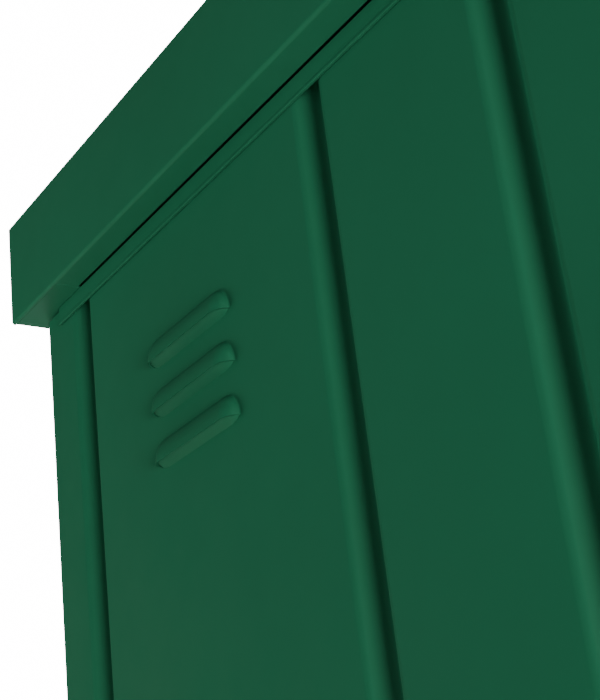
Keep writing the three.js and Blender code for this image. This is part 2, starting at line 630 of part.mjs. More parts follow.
function hingeDoorHalf() {
  const high = HINGE_HEIGHT / 2;
  const barrel = rodZ(HINGE_BARREL, FIT, high);
  const bore = rodZ(HINGE_PIN + FIT, 0, high - 4, 0, 0, 12);
  const clear = box([-HINGE_BARREL - 1, -HINGE_BARREL - 1, -HINGE_HEIGHT], [0, HINGE_BARREL + 1, 0]);
  return cut(join(barrel, cut(hingeLeaf(-1), clear), hingeStrap(-1, FIT, high)), bore);
}

// ---- Lock --------------------------------------------------------------------------------------
// Drawn about the handle's axis, which runs along Y through X = Z = 0; Y = 0 is the door's face.
const SPINDLE_RADIUS = 6;
const ROSE = { radius: 24, thick: 6 };
const NECK = { radius: 12, length: 16 };
const GRIP = { length: 116, height: 22, thick: 13 };
const PLUG = { radius: 7, proud: 1.5 };
const KEY = { bow: 11, thick: 2.2, stem: 14 };
const CAM = { radius: 21, thick: 4, gap: 7 };
const YOKE = { thick: 4, width: 26, half: 10, play: 0.8 };
const GRIP_FACE = -(FIT + ROSE.thick + FIT + NECK.length + GRIP.thick);
const KEY_MIDDLE = GRIP_FACE - PLUG.proud - KEY.stem - KEY.bow;
const KEY_TIP = KEY_MIDDLE - KEY.bow;

// A disc with softened front edge, turned round the Y axis; y0 is the front.
function turnedY(radius, y0, y1, edge = 1.2, sides = 24) {
  const long = y1 - y0;
  const profile = [at(0, 0), at(radius, 0), at(radius, long - edge), at(radius - edge, long), at(0, long)];
  return new THREE.LatheGeometry(profile, sides).rotateX(Math.PI).translate(0, y1, 0);
}

function handleRose() {
  const disc = turnedY(ROSE.radius, -FIT - ROSE.thick, -FIT, 2);
  return cut(disc, rodY(SPINDLE_RADIUS + 1, -FIT - ROSE.thick - 1, 1));
}

// The T-shaped grip: a round neck and a bar with rounded ends and softened edges.
function handleGrip() {
  const half = GRIP.length / 2;
  const round = GRIP.height / 2;
  const soft = 2.5;
  const outline = new THREE.Shape();
  outline.absarc(half - round, 0, round - soft, -Math.PI / 2, Math.PI / 2);
  outline.absarc(round - half, 0, round - soft, Math.PI / 2, Math.PI * 1.5);
  outline.closePath();
  const bar = new THREE.ExtrudeGeometry(outline, {
    depth: GRIP.thick - 2 * soft, bevelThickness: soft, bevelSize: soft, bevelSegments: 2, curveSegments: 8,
  }).translate(0, 0, soft).rotateX(Math.PI / 2).translate(0, GRIP_FACE + GRIP.thick, 0);
  const neck = rodY(NECK.radius, GRIP_FACE + GRIP.thick - 2, -FIT - ROSE.thick - FIT, 0, 0, 24);
  const spindle = rodY(SPINDLE_RADIUS, GRIP_FACE + GRIP.thick, CAM.gap - FIT, 0, 0, 16);
  const seat = rodY(PLUG.radius + FIT, GRIP_FACE - 1, GRIP_FACE + 6, 0, 0, 20);
  return cut(join(bar, neck, spindle), seat);
}

function lockPlug() {
  const plug = turnedY(PLUG.radius, GRIP_FACE - PLUG.proud, GRIP_FACE + 5, 0.8, 20);
  const keyway = box([-KEY.thick / 2 - FIT, GRIP_FACE - PLUG.proud - 1, -4.4],
    [KEY.thick / 2 + FIT, GRIP_FACE + 3, 4.4]);
  return cut(plug, keyway);
}

function key() {
  const disc = (radius, thick, y, sides) =>
    new THREE.CylinderGeometry(radius, radius, thick, sides).rotateZ(Math.PI / 2).translate(0, y, 0);
  const bow = disc(KEY.bow, KEY.thick, KEY_MIDDLE, 20);
  const eye = disc(3, KEY.thick * 2, KEY_MIDDLE - 4, 12);
  const blade = box([-KEY.thick / 2, KEY_MIDDLE + KEY.bow - 3, -4], [KEY.thick / 2, GRIP_FACE + 2, 4]);
  return cut(join(bow, blade), eye);
}

// The cam on the inner end of the spindle, with a crank pin for each rod. At rest the pins are
// a quarter turn short of locked.
function lockCam() {
  const disc = rodY(CAM.radius, CAM.gap, CAM.gap + CAM.thick, 0, 0, 28);
  const reach = CRANK_RADIUS * Math.SQRT1_2;
  const pinEnd = ROD_OFFSET_Y - DOOR_FACE + YOKE.thick / 2 + 2;
  const pins = [1, -1].map((side) =>
    rodY(CRANK_PIN, CAM.gap + 1, pinEnd, side * reach, -side * reach, 16));
  return join(disc, ...pins);
}

// A lock rod with the slotted yoke that its crank pin works in; up is +1 for the upper rod.
function lockRod(up, end) {
  const y0 = -YOKE.thick / 2;
  const y1 = YOKE.thick / 2;
  const reach = CRANK_RADIUS * Math.SQRT1_2;
  const near = YOKE.half + 12;
  const span = (a, b) => [Math.min(up * a, up * b), Math.max(up * a, up * b)];
  const plate = ([xa, xb], [za, zb], ya = y0, yb = y1) => box([xa, ya, za], [xb, yb, zb]);
  const yoke = plate(span(FIT, YOKE.width - 4), span(-YOKE.half * 2, near + 12));
  const bridge = plate(span(-ROD_RADIUS, YOKE.width - 4), span(near + 2, near + 12));
  const room = CRANK_PIN + YOKE.play;
  const slotX = span(reach - room, CRANK_RADIUS + room);
  const slot = plate(slotX, span(-reach - room, -reach + room), y0 - 1, y1 + 1);
  const [z0, z1] = span(near, end);
  return join(cut(yoke, slot), bridge, rodZ(ROD_RADIUS, z0, z1, 0, 0, 16));
}

// A guide block on the inside of the door skin, bored for a rod; Y = 0 is the rod's axis.
function rodGuide() {
  const skin = DOOR_FACE + PANEL_SHEET + FIT - ROD_OFFSET_Y;
  const block = box([-11, skin, -9], [11, ROD_RADIUS + 3, 9]);
  return cut(block, rodZ(ROD_RADIUS + ROD_CLEARANCE, -20, 20, 0, 0, 20));
}

// A shoot bolt for the door without the handle, with a finger knob; the tip is at +length.
function shootBolt() {
  const bolt = rodZ(ROD_RADIUS, 0, BOLT_LENGTH, 0, 0, 16);
  const knob = rodY(4, 0, 20, 0, 12, 14);
  return join(bolt, knob, turnedY(6.5, 15, 22, 1.2, 14).translate(0, 0, 12));
}

// ---- Assembly ----------------------------------------------------------------------------------
const shed = new THREE.Group();

function add(parent, name, geometry, finish, x = 0, y = 0, z = 0) {
  const mesh = new THREE.Mesh(geometry, new THREE.MeshStandardMaterial(finish));
  mesh.name = name;
  mesh.position.set(x, y, z);
  parent.add(mesh);
  return mesh;
}

// Adds a piece drawn on the right and its mirror image on the left.
function addPair(parent, name, geometry, finish, x = 0, y = 0, z = 0) {
  add(parent, `${name}_right`, geometry, finish, x, y, z);
  add(parent, `${name}_left`, geometry, finish, -x, y, z).scale.x = -1;
}

addPair(shed, "side_panel", sidePanel(), GREEN);
addPair(shed, "back_panel", backPanel(), GREEN);
addPair(shed, "louvre_guard", louvreGuard(), GREEN);
addPair(shed, "top_rail", railSide(topRailSection), GREEN);
add(shed, "top_rail_back", railBack(topRailSection), GREEN);
addPair(shed, "base_rail", railSide(baseRailSection), GREEN);
add(shed, "base_rail_back", railBack(baseRailSection), GREEN);
addPair(shed, "front_post", frontPost(), GALVANISED);
addPair(shed, "rear_post", rearPost(), GALVANISED);
add(shed, "back_post", backPost(), GALVANISED);
add(shed, "front_sill", frontSill(), GREEN);
add(shed, "floor_panel", floorPanel(), GALVANISED);
add(shed, "door_head", doorHead(), GREEN);
addPair(shed, "roof_tray", roofTray(), GREEN);
add(shed, "roof_seam_cap", seamCap(), GREEN);
add(shed, "fascia_front", fascia(ROOF_FRONT, 1), GREEN);
add(shed, "fascia_back", fascia(ROOF_BACK, -1), GREEN);
addPair(shed, "roof_bearer", roofBearer(), GALVANISED, ROOF_X / 2);

const STIFFENERS = { lower: DOOR_BOTTOM + DOOR_HEIGHT * 0.28, upper: DOOR_BOTTOM + DOOR_HEIGHT * 0.76 };
const HINGE_HEIGHTS = {
  lower: DOOR_BOTTOM + HINGE_FROM_ENDS,
  middle: DOOR_BOTTOM + DOOR_HEIGHT / 2,
  upper: DOOR_TOP - HINGE_FROM_ENDS,
};

for (const [side, sign] of [["right", 1], ["left", -1]]) {
  const door = new THREE.Group();
  door.position.set(sign * HINGE_X, HINGE_Y, 0);
  door.scale.x = sign;
  shed.add(door);
  add(door, `door_${side}`, doorSkin(sign > 0), GREEN);
  for (const [level, z] of Object.entries(STIFFENERS))
    add(door, `door_stiffener_${side}_${level}`, doorStiffener(z), GALVANISED);
  add(door, `door_seal_${side}`, doorSeal(), BLACK_RUBBER);
  for (const [level, z] of Object.entries(HINGE_HEIGHTS)) {
    add(door, `hinge_post_${side}_${level}`, hingePostHalf(), GREEN, 0, 0, z);
    add(door, `hinge_door_${side}_${level}`, hingeDoorHalf(), GREEN, 0, 0, z);
  }
}

const lock = new THREE.Group();
lock.position.set(LOCK_X, FRONT, LOCK_HEIGHT);
shed.add(lock);
add(lock, "handle_rose", handleRose(), CAST_METAL);
add(lock, "handle_grip", handleGrip(), CAST_METAL);
add(lock, "lock_plug", lockPlug(), NICKEL);
add(lock, "key", key(), NICKEL);
add(lock, "lock_cam", lockCam(), GALVANISED);

const lineOf = (x) => {
  const line = new THREE.Group();
  line.position.set(x, ROD_Y, LOCK_HEIGHT);
  shed.add(line);
  return line;
};
const rods = lineOf(LOCK_X);
add(rods, "lock_rod_upper", lockRod(1, DOOR_TOP - ROD_STOP - LOCK_HEIGHT), GALVANISED);
add(rods, "lock_rod_lower", lockRod(-1, LOCK_HEIGHT - DOOR_BOTTOM - ROD_STOP), GALVANISED);
add(rods, "rod_guide_upper", rodGuide(), GALVANISED, 0, 0, GUIDE_FROM_LOCK);
add(rods, "rod_guide_lower", rodGuide(), GALVANISED, 0, 0, -GUIDE_FROM_LOCK);

const bolts = lineOf(-LOCK_X);
const boltRoot = DOOR_TOP - ROD_STOP - BOLT_LENGTH - LOCK_HEIGHT;
const lowerRoot = DOOR_BOTTOM + ROD_STOP + BOLT_LENGTH - LOCK_HEIGHT;
add(bolts, "shoot_bolt_upper", shootBolt(), GALVANISED, 0, 0, boltRoot);
add(bolts, "shoot_bolt_lower", shootBolt(), GALVANISED, 0, 0, lowerRoot).scale.z = -1;
add(bolts, "bolt_guide_upper", rodGuide(), GALVANISED, 0, 0, boltRoot + BOLT_LENGTH / 2);
add(bolts, "bolt_guide_lower", rodGuide(), GALVANISED, 0, 0, lowerRoot - BOLT_LENGTH / 2);

// The origin stands under the middle of the whole box, from the key to the back of the roof.
shed.position.y = (HALF_DEPTH - KEY_TIP - ROOF_BACK) / 2;

export default shed;
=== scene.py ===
"""The looks of a compact painted-steel garden shed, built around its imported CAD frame.

Metres, +Z up, front towards -Y. Folded sheets are redrawn here with round bends and smooth pressed
grooves; posts, hinges, lock and rods keep their CAD shapes and get finer edges and materials.
"""
import json
import math

import bmesh
import bpy
from mathutils import Matrix, Vector


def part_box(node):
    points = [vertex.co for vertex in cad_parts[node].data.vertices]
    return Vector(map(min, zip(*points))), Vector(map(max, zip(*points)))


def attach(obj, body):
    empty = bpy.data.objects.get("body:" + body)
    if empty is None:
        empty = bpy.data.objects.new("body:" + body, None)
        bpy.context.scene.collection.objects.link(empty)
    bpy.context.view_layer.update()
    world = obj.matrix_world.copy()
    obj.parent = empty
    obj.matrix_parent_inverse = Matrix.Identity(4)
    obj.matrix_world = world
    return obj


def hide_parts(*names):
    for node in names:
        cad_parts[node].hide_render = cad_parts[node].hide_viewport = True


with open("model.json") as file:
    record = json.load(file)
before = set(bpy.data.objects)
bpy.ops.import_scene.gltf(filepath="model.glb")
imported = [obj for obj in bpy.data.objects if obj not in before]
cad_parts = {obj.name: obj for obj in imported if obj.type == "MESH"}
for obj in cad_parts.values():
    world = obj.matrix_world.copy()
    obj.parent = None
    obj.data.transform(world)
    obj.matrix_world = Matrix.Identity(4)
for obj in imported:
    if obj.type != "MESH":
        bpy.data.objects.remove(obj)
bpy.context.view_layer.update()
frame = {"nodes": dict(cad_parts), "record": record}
nodes = frame["nodes"]

MM = 0.001

# ---- Sizes the sheets are folded to -------------------------------------------------------------
SHEET = 1.2 * MM
FRAME_SHEET = 1.5 * MM
FIT = 0.4 * MM
BEND = 3.0 * MM
OVERHANG_WALL = 26 * MM
JAMB = 40 * MM
REAR_RETURN = 28 * MM
EDGE_TO_GROOVE = 68.5 * MM
GROOVE_PITCH = 176 * MM
GROOVE_DEPTH = 11.5 * MM
GROOVE_RADIUS = 9 * MM
GROOVE_FLANK = math.radians(44)
LOUVRE_BAY = 1
LOUVRE_COUNT = 3
LOUVRE_LENGTH = 114 * MM
LOUVRE_HEIGHT = 18.2 * MM
LOUVRE_REACH = 9.8 * MM
LOUVRE_END = 13.7 * MM
LOUVRE_PITCH = 39.5 * MM
LOUVRE_DROP = 120 * MM
BACKING_RISE = 0.8 * MM  # lip to the sheet that backs a louvre's opening
BACKING_SLOPE = 4.5 * MM  # how far that sheet falls on its way to the wall
LOUVRE_PROUD = 0.04 * MM  # keeps a louvre's root just clear of the wall's face
LOUVRE_SINK = 0.1 * MM  # how far the backing's foot goes into the wall
RAIL_COVER = 17 * MM
RAIL_INNER = 32 * MM
RAIL_HEM = 2.4 * MM
FLANGE_SIDE = 22.4 * MM
FLANGE_FRONT = 89 * MM
FASCIA_LIP = 22 * MM
DECK_BORDER = 30 * MM
DECK_CROWN = 9 * MM
SEAM_HEIGHT = 22 * MM
DOOR_LIP = 14 * MM
ROD_CLEARANCE = 1.2 * MM
CAD_EDGE = 0.25 * MM  # edge rounding on the pieces that keep their CAD shape
WELD_GAP = 0.01 * MM

# ---- Places taken from the frame ----------------------------------------------------------------
roof_low, roof_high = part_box("roof_tray_right")
side_low, side_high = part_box("side_panel_right")
rail_low, rail_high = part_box("top_rail_right")
back_low, back_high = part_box("back_panel_right")
door_low, door_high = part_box("door_right")

EAVES = roof_low.z
ROOF_X, ROOF_FRONT, ROOF_BACK = roof_high.x, roof_low.y, roof_high.y
ROOF_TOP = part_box("fascia_front")[1].z + SHEET + FIT
WALL_X = ROOF_X - OVERHANG_WALL
FRONT, WALL_BACK = side_low.y, side_high.y
WALL_BOTTOM, WALL_TOP = side_low.z, side_high.z
RAIL_DEPTH = GROOVE_DEPTH + SHEET + 2 * FIT


# ---- Mesh helpers -------------------------------------------------------------------------------
def fillet(path, radius, steps=6):
    """The open path with each inner corner turned into an arc of the radius."""
    path = [Vector(point) for point in path]
    out = [path[0]]
    for before, here, after in zip(path, path[1:], path[2:]):
        back = (before - here).normalized()
        on = (after - here).normalized()
        half = back.angle(on) / 2
        centre = here + (back + on).normalized() * radius / math.sin(half)
        start = here + back * radius / math.tan(half) - centre
        left = back.x * on.y - back.y * on.x < 0
        sweep = (math.pi - 2 * half) * (1 if left else -1)
        out += [centre + Matrix.Rotation(sweep * step / steps, 2) @ start for step in range(steps + 1)]
    return out + [path[-1]]


def ribbon(path, thickness):
    """The closed outline of a sheet along an open path; its thickness lies left of travel."""
    runs = [(b - a).normalized() for a, b in zip(path, path[1:])]
    sides = [Vector((-run.y, run.x)) for run in runs]
    inner = []
    for i, point in enumerate(path):
        first, second = sides[max(i - 1, 0)], sides[min(i, len(sides) - 1)]
        inner.append(point + (first + second) * thickness / (1 + first.dot(second)))
    return list(path) + inner[::-1]


def new_piece(name, vertices, faces, bevel=0.3 * MM, sharp=math.radians(28)):
    """A new mesh object with its faces out and its edges slightly rounded."""
    mesh = bpy.data.meshes.new(name)
    mesh.from_pydata([tuple(vertex) for vertex in vertices], [], faces)
    made = bmesh.new()
    made.from_mesh(mesh)
    bmesh.ops.recalc_face_normals(made, faces=made.faces)
    made.to_mesh(mesh)
    made.free()
    piece = bpy.data.objects.new(name, mesh)
    bpy.context.scene.collection.objects.link(piece)
    finish_edges(piece, bevel, sharp)
    return piece


def finish_edges(piece, bevel, sharp):
    mesh = piece.data
    mesh.polygons.foreach_set("use_smooth", [True] * len(mesh.polygons))
    mesh.set_sharp_from_angle(angle=sharp)
    if bevel:
        rounding = piece.modifiers.new("edge rounding", "BEVEL")
        rounding.width = bevel
        rounding.segments = 2
        rounding.limit_method = "ANGLE"
        rounding.angle_limit = math.radians(50)
        rounding.harden_normals = True
        rounding.use_clamp_overlap = True


def prism(name, outline, axis, start, end, **edges):
    """A closed outline run along an axis. Its two coordinates are the other two, in X, Y, Z order."""
    place = {"X": lambda u, v, w: (w, u, v),
             "Y": lambda u, v, w: (u, w, v),
             "Z": lambda u, v, w: (u, v, w)}[axis]
    count = len(outline)
    vertices = [place(u, v, w) for w in (start, end) for u, v in outline]
    walls = [(i, (i + 1) % count, count + (i + 1) % count, count + i) for i in range(count)]
    caps = [tuple(range(count)), tuple(range(2 * count - 1, count - 1, -1))]
    return new_piece(name, vertices, walls + caps, **edges)


def block(name, low, high, **edges):
    outline = [(low[0], low[1]), (high[0], low[1]), (high[0], high[1]), (low[0], high[1])]
    return prism(name, outline, "Z", low[2], high[2], **edges)


def merge(name, pieces):
    """Joins several meshes into the first, with that first one's modifiers."""
    with bpy.context.temp_override(
            active_object=pieces[0], selected_editable_objects=pieces, object=pieces[0]):
        bpy.ops.object.join()
    pieces[0].name = name
    return pieces[0]


def mirrored(piece, name):
    """A copy of a piece on the other side of the middle plane."""
    copy = piece.copy()
    copy.data = piece.data.copy()
    copy.name = name
    copy.data.transform(Matrix.Scale(-1, 4, (1, 0, 0)))
    copy.data.flip_normals()
    bpy.context.scene.collection.objects.link(copy)
    return copy


def groove(centre, steps=7):
    """The run of one pressed groove: (place along the wall, depth)."""
    rise = GROOVE_RADIUS * (1 - math.cos(GROOVE_FLANK))
    half = 2 * GROOVE_RADIUS * math.sin(GROOVE_FLANK) + (GROOVE_DEPTH - 2 * rise) / math.tan(GROOVE_FLANK)
    falling = []
    for step in range(steps + 1):
        turn = GROOVE_FLANK * step / steps
        falling.append((half - GROOVE_RADIUS * math.sin(turn), GROOVE_RADIUS * (1 - math.cos(turn))))
    for step in range(steps):
        turn = GROOVE_FLANK * (1 - step / steps)
        falling.append((GROOVE_RADIUS * math.sin(turn), GROOVE_DEPTH - GROOVE_RADIUS * (1 - math.cos(turn))))
    left = [(centre - s, depth) for s, depth in falling]
    right = [(centre + s, depth) for s, depth in reversed(falling)]
    return left + [(centre, GROOVE_DEPTH)] + right


def groove_centres(length, skip=()):
    bays = round((length - 2 * EDGE_TO_GROOVE) / GROOVE_PITCH)
    pitch = (length - 2 * EDGE_TO_GROOVE) / bays
    return [EDGE_TO_GROOVE + bay * pitch for bay in range(bays + 1) if bay not in skip]


# ---- Walls --------------------------------------------------------------------------------------
DEPTH = WALL_BACK - FRONT
SIDE_PITCH = (DEPTH - 2 * EDGE_TO_GROOVE) / round((DEPTH - 2 * EDGE_TO_GROOVE) / GROOVE_PITCH)
LOUVRE_Y = FRONT + EDGE_TO_GROOVE + SIDE_PITCH
LOUVRE_LOWEST = EAVES - LOUVRE_DROP - (LOUVRE_COUNT - 1) * LOUVRE_PITCH


def louvre_outline():
    """Points round the upper edge of a louvre: (end of the straight lip, reach past it, height)."""
    around, along = 12, 8
    straight = LOUVRE_LENGTH / 2 - LOUVRE_END
    quarter = [(straight, LOUVRE_END * math.cos(math.pi / 2 * i / around),
                LOUVRE_HEIGHT * math.sin(math.pi / 2 * i / around)) for i in range(around + 1)]
    top = [(straight * (1 - 2 * i / along), 0, LOUVRE_HEIGHT) for i in range(1, along)]
    return quarter + top + [(-end, -side, height) for end, side, height in reversed(quarter)]


def louvre_profile():
    """Steps from the wall, round the soft root and out to the lip: (flare, share of outline, out)."""
    root, blends, rings = 1.8 * MM, 5, 16
    start = math.asin(root / LOUVRE_REACH)
    steps = []
    for i in range(blends):
        t = i / blends
        steps.append((root * (1 - t) ** 2, 1 - t ** 2 * (1 - math.cos(start)), t ** 2 * root))
    for i in range(rings + 1):
        turn = start + (math.pi / 2 - start) * i / rings
        steps.append((0, math.cos(turn), LOUVRE_REACH * math.sin(turn)))
    return steps


def louvre(bottom):
    """One hooded louvre on the right wall, with its lip's edge and the backing just above it."""
    outline = louvre_outline()
    vertices = []
    for flare, share, out in louvre_profile():
        for end, side, height in outline:
            grow = share + flare / math.hypot(side, height)
            y, z = LOUVRE_Y + end + side * grow, bottom + height * grow
            vertices.append((WALL_X + LOUVRE_PROUD + out, y, z))
    count = len(outline)
    rings = len(vertices) // count
    faces = [(r * count + i, r * count + i + 1, (r + 1) * count + i + 1, (r + 1) * count + i)
             for r in range(rings - 1) for i in range(count - 1)]
    lip = [(vertices[r * count][1], vertices[r * count][0] - WALL_X) for r in range(rings)]
    lip += [(vertices[r * count - 1][1], vertices[r * count - 1][0] - WALL_X) for r in range(rings, 0, -1)]
    centre = LOUVRE_Y
    inner = [(centre + (y - centre) * (1 - 2 * SHEET / LOUVRE_LENGTH), max(out - SHEET, 0)) for y, out in lip]
    backing = bottom + BACKING_RISE
    fall = BACKING_SLOPE / LOUVRE_REACH
    rows = [
        [(WALL_X + out, y, bottom) for y, out in lip],
        [(WALL_X + out, y, bottom) for y, out in inner],
        [(WALL_X + out, y, backing) for y, out in inner],
        [(WALL_X - LOUVRE_SINK, y, backing - fall * out) for y, out in inner],
    ]
    for row in rows:
        base = len(vertices)
        vertices += row
        if row is not rows[0]:
            faces += [(base - len(row) + i, base - len(row) + i + 1, base + i + 1, base + i)
                      for i in range(len(row) - 1)]
    return new_piece("louvre", vertices, faces, bevel=0, sharp=math.radians(40))


def side_panel():
    face = [point for centre in groove_centres(DEPTH, [LOUVRE_BAY]) for point in groove(centre)]
    front = fillet([(WALL_X - JAMB, FRONT), (WALL_X, FRONT), (WALL_X, FRONT + JAMB)], BEND)
    rear = fillet([(WALL_X, WALL_BACK - REAR_RETURN), (WALL_X, WALL_BACK),
                   (WALL_X - REAR_RETURN, WALL_BACK)], BEND)
    path = front[:-1] + [Vector((WALL_X - depth, FRONT + s)) for s, depth in face] + rear[1:]
    wall = prism("side_wall_right", ribbon(path, SHEET), "Z", WALL_BOTTOM, WALL_TOP)
    hoods = [louvre(LOUVRE_LOWEST + i * LOUVRE_PITCH) for i in range(LOUVRE_COUNT)]
    return merge("side_wall_right", [wall] + hoods)


def back_wall():
    width = 2 * WALL_X
    centres = [s - WALL_X for s in groove_centres(width)]
    face = [point for centre in centres if centre > 0 for point in groove(centre)]
    path = [(back_low.x, back_high.y)] + [(x, back_high.y - depth) for x, depth in face]
    path = [Vector(point) for point in path + [(back_high.x, back_high.y)]]
    return prism("back_wall_right", ribbon(path, -SHEET), "Z", WALL_BOTTOM, WALL_TOP)


# ---- Rails --------------------------------------------------------------------------------------
def top_rail_outline(place):
    """The rail's channel section, open downward, with a thick hem on its outer leg."""
    low, top = EAVES - RAIL_COVER, EAVES - FIT
    hem, inner = FIT + RAIL_HEM, -RAIL_DEPTH
    outer = FIT + FRAME_SHEET
    section = [(FIT, low), (hem, low), (hem, low + 2.2 * MM), (outer, low + 2.9 * MM), (outer, top),
               (inner - FRAME_SHEET, top), (inner - FRAME_SHEET, top - RAIL_INNER),
               (inner, top - RAIL_INNER), (inner, top - FRAME_SHEET), (FIT, top - FRAME_SHEET)]
    return [place(out, z) for out, z in section]


def rails():
    side = prism("wall_top_rail_right", top_rail_outline(lambda out, z: (WALL_X + out, z)), "Y",
                 rail_low.y, rail_high.y, bevel=0.55 * MM)
    low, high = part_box("top_rail_back")
    back = prism("wall_top_rail_back", top_rail_outline(lambda out, z: (back_high.y + out, z)), "X",
                 low.x, high.x, bevel=0.55 * MM)
    return side, back


# ---- Roof ---------------------------------------------------------------------------------------
def deck(x0, x1):
    """A cross-broken deck: flat round its edge with a low crown, its four folds softened."""
    steps = 28
    softness = 7
    vertices = []
    for level in (0, -SHEET):
        for i in range(steps + 1):
            for j in range(steps + 1):
                u, v = 2 * i / steps - 1, 2 * j / steps - 1
                spread = (abs(u) ** softness + abs(v) ** softness) ** (1 / softness)
                rise = DECK_CROWN * max(1 - spread, 0)
                x = x0 + (x1 - x0) * i / steps
                y = ROOF_FRONT + (ROOF_BACK - ROOF_FRONT) * j / steps
                vertices.append((x, y, ROOF_TOP + level + rise))
    row = steps + 1
    layer = row * row
    top = [(i * row + j, (i + 1) * row + j, (i + 1) * row + j + 1, i * row + j + 1)
           for i in range(steps) for j in range(steps)]
    faces = top + [tuple(layer + corner for corner in reversed(face)) for face in top]
    rim = [i * row for i in range(steps + 1)] + [steps * row + j for j in range(1, steps + 1)]
    rim += [i * row + steps for i in range(steps - 1, -1, -1)] + [j for j in range(steps - 1, 0, -1)]
    faces += [(a, b, b + layer, a + layer) for a, b in zip(rim, rim[1:] + rim[:1])]
    return new_piece("deck", vertices, faces, bevel=0, sharp=math.radians(40))


def roof_tray():
    """The right half of the roof; its side flange stops where the end flanges take over."""
    def edge(inward):
        path = fillet([(ROOF_X - DECK_BORDER, ROOF_TOP), (ROOF_X, ROOF_TOP), (ROOF_X, EAVES),
                       (ROOF_X - inward, EAVES)], BEND, steps=8)
        return ribbon(path, -SHEET)
    front, back = ROOF_FRONT + FLANGE_FRONT + FIT, ROOF_BACK - FLANGE_FRONT - FIT
    short = BEND + 0.1 * MM
    pieces = [prism("tray_side", edge(FLANGE_SIDE), "Y", front, back),
              prism("tray_front_end", edge(short), "Y", ROOF_FRONT, front, bevel=0.6 * MM),
              prism("tray_back_end", edge(short), "Y", back, ROOF_BACK, bevel=0.6 * MM),
              deck(FIT / 2 + SHEET, ROOF_X - DECK_BORDER),
              block("tray_upstand", (FIT / 2, ROOF_FRONT, ROOF_TOP - SHEET),
                    (FIT / 2 + SHEET, ROOF_BACK, ROOF_TOP + SEAM_HEIGHT))]
    return merge("roof_right", pieces)


def fascia(name, face, inward):
    top = ROOF_TOP - SHEET - FIT
    path = fillet([(face + inward * FASCIA_LIP, top), (face, top), (face, EAVES),
                   (face + inward * FLANGE_FRONT, EAVES)], BEND, steps=8)
    end = ROOF_X - BEND - 0.4 * MM
    return prism(name, ribbon(path, inward * FRAME_SHEET), "X", -end, end)


def seam_cap():
    low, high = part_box("roof_seam_cap")
    path = fillet([(high.x, low.z), (high.x, high.z), (low.x, high.z), (low.x, low.z)], 1.6 * MM)
    return prism("roof_seam_cover", ribbon(path, SHEET), "Y", low.y, high.y)


# ---- Doors --------------------------------------------------------------------------------------
def rod_notch(back):
    """The notch in a door's end plates that its rod runs through, open towards the inside."""
    low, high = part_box("lock_rod_upper")
    bolt_low, bolt_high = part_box("shoot_bolt_upper")
    left = min(low.x, -bolt_high.x) - ROD_CLEARANCE
    right = max(high.x, -bolt_low.x) + ROD_CLEARANCE
    front = min(low.y, bolt_low.y) - ROD_CLEARANCE
    return [(left, back), (left, front), (right, front), (right, back)]


def door_skin():
    x0, x1 = door_low.x, door_high.x
    y0, y1 = door_low.y, door_high.y
    third = (x1 - x0) / 3
    face = [point for centre in (x0 + third, x1 - third) for point in groove(centre)]
    left = fillet([(x0, y1), (x0, y0), (x0 + JAMB, y0)], BEND)[:-1]
    right = fillet([(x1 - JAMB, y0), (x1, y0), (x1, y1)], BEND)[1:]
    path = left + [Vector((x, y0 + depth)) for x, depth in face] + right
    lipped = [Vector((x0 + DOOR_LIP, y1))] + path + [Vector((x1 - DOOR_LIP, y1))]
    skin = prism("skin", ribbon(lipped, SHEET), "Z", door_low.z, door_high.z)
    plate = ribbon(path, SHEET / 2)[len(path):] + rod_notch(y1)
    ends = [prism("end_plate", plate, "Z", z, z + SHEET) for z in (door_low.z, door_high.z - SHEET)]
    return merge("door_skin_right", [skin] + ends)


# ---- Materials ----------------------------------------------------------------------------------
PAINT = (0.0105, 0.098, 0.0465)
PAINT_DEEP = (0.0100, 0.094, 0.0445)
PAINT_LIGHT = (0.0110, 0.102, 0.0485)
PAINT_WORN = (0.022, 0.135, 0.072)
DUST = (0.10, 0.12, 0.085)


